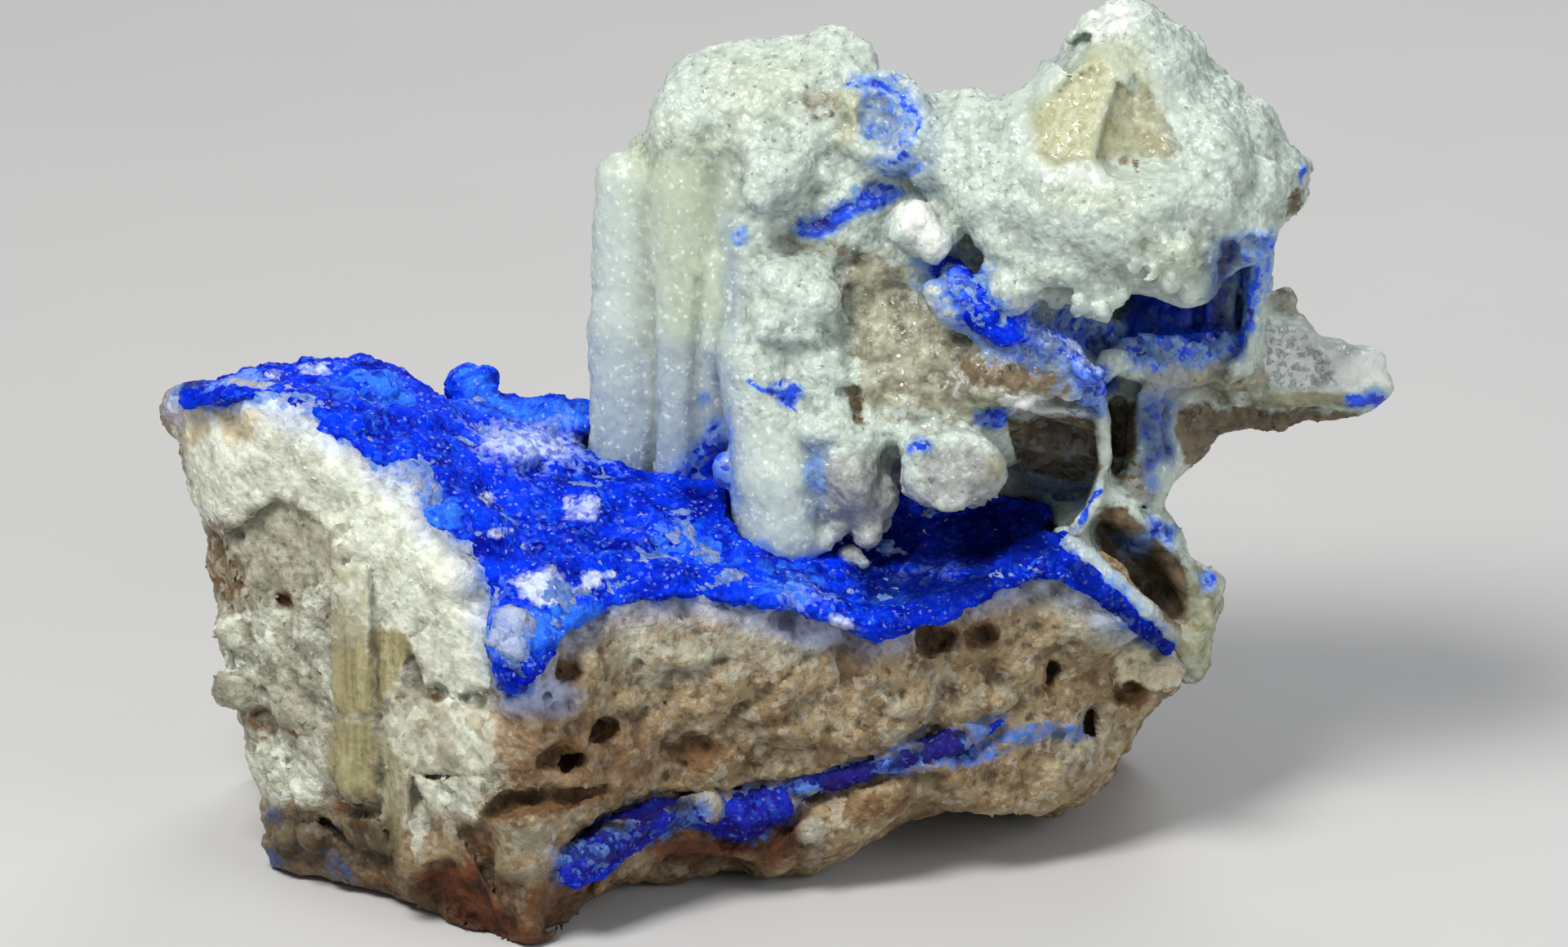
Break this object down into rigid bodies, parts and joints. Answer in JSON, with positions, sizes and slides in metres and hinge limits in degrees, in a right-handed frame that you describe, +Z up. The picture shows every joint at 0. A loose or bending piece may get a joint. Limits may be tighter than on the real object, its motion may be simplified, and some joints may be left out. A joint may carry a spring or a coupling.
{
  "type": "azurite mineral specimen",
  "caption": "Mineral specimen: porous matrix rock with a ledge under a blue azurite crust, and a mass of pale stalactites above it. Stands on its flat cut base.",
  "frame": {"origin": "centre of the bounding box, on the surface that the cut base stands on", "axes": "+Z up from the cut base, +X to the viewer's right along the front face, +Y from the front to the back"},
  "size_m": [0.0905, 0.0515, 0.0636],
  "materials": {
    "matrix_rock": "rough, porous, partly drusy",
    "azurite": "finely crystalline, sparkling",
    "pale_stalactites": "translucent, sugary druse"
  },
  "bodies": {
    "root": {"matrix_rock": "matrix_rock", "pale_stalactites": "pale_stalactites", "azurite_crust": "azurite", "azurite_upper_seam": "azurite", "azurite_lower_seam": "azurite"}
  },
  "joints": []
}
